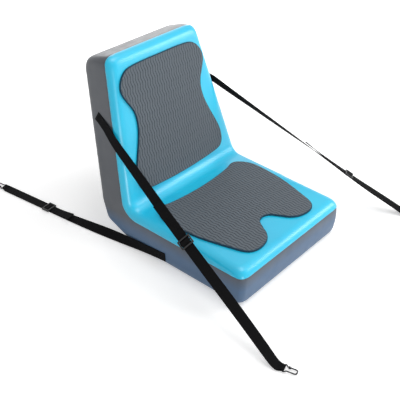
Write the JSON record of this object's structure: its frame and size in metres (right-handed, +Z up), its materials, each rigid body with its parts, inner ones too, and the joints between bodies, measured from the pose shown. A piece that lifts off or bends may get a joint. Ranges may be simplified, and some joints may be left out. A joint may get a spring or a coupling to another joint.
{
  "type": "paddleboard seat",
  "caption": "L-shaped inflatable seat with a foam pad on the seat and on the reclined back, a valve behind the back, and webbing straps ending in sliders and snap hooks.",
  "frame": {"origin": "on the ground under the seat, in the middle of its width, midway between the front wall and the crease where seat and back meet", "axes": "-Y is the front, +X the right-hand side of someone who looks at the seat, +Z up"},
  "size_m": [0.7026, 1.0398, 0.4563],
  "materials": {
    "grey_pvc": "satin",
    "blue_pvc": "satin",
    "grey_foam": "matte",
    "black_webbing": "matte",
    "black_plastic": "satin",
    "black_metal": "satin",
    "bright_metal": "satin",
    "black_rubber": "matte"
  },
  "bodies": {
    "seat": {"air_chamber": "grey_pvc", "deck_skin": "blue_pvc", "seat_pad": "grey_foam", "back_pad": "grey_foam", "webbing_front_left": "black_webbing", "slider_front_left": "black_plastic", "hook_front_left": "black_metal", "gate_pin_front_left": "bright_metal", "webbing_front_right": "black_webbing", "slider_front_right": "black_plastic", "hook_front_right": "black_metal", "gate_pin_front_right": "bright_metal", "webbing_rear_left": "black_webbing", "slider_rear_left": "black_plastic", "hook_rear_left": "black_metal", "gate_pin_rear_left": "bright_metal", "webbing_rear_right": "black_webbing", "slider_rear_right": "black_plastic", "hook_rear_right": "black_metal", "gate_pin_rear_right": "bright_metal", "valve_body": "black_plastic", "valve_spring": "bright_metal", "valve_seal": "black_rubber"},
    "gate_front_left": {"gate_front_left": "black_metal"},
    "gate_front_right": {"gate_front_right": "black_metal"},
    "gate_rear_left": {"gate_rear_left": "black_metal"},
    "gate_rear_right": {"gate_rear_right": "black_metal"},
    "valve_poppet": {"valve_poppet": "black_plastic"},
    "valve_cap": {"valve_cap": "black_plastic"}
  },
  "joints": [
    {"name": "gate_front_left_opens", "type": "hinge", "parent": "seat", "child": "gate_front_left", "pos_m": [-0.27125, -0.36793, 0.00335], "axis": [-0.0032, 0.011, -0.9999], "range_deg": [0, 25], "stiffness_Nm_per_rad": 0.004},
    {"name": "gate_front_right_opens", "type": "hinge", "parent": "seat", "child": "gate_front_right", "pos_m": [0.39791, -0.31816, 0.00375], "axis": [-0.001, -0.0192, -0.9998], "range_deg": [0, 25], "stiffness_Nm_per_rad": 0.004},
    {"name": "gate_rear_left_opens", "type": "hinge", "parent": "seat", "child": "gate_rear_left", "pos_m": [-0.28046, 0.63191, 0.0035], "axis": [0, 0, -1], "range_deg": [0, 25], "stiffness_Nm_per_rad": 0.004},
    {"name": "gate_rear_right_opens", "type": "hinge", "parent": "seat", "child": "gate_rear_right", "pos_m": [0.26838, 0.63363, 0.0035], "axis": [0, 0, -1], "range_deg": [0, 25], "stiffness_Nm_per_rad": 0.004},
    {"name": "valve_poppet_presses", "type": "slide", "parent": "seat", "child": "valve_poppet", "axis": [0, -0.9593, 0.2823], "range_m": [0, 0.003], "stiffness_N_per_m": 60},
    {"name": "valve_cap_turns", "type": "hinge", "parent": "seat", "child": "valve_cap", "pos_m": [0, 0.30253, 0.17657], "axis": [0, 0.9593, -0.2823], "range_deg": [0, 90]}
  ]
}
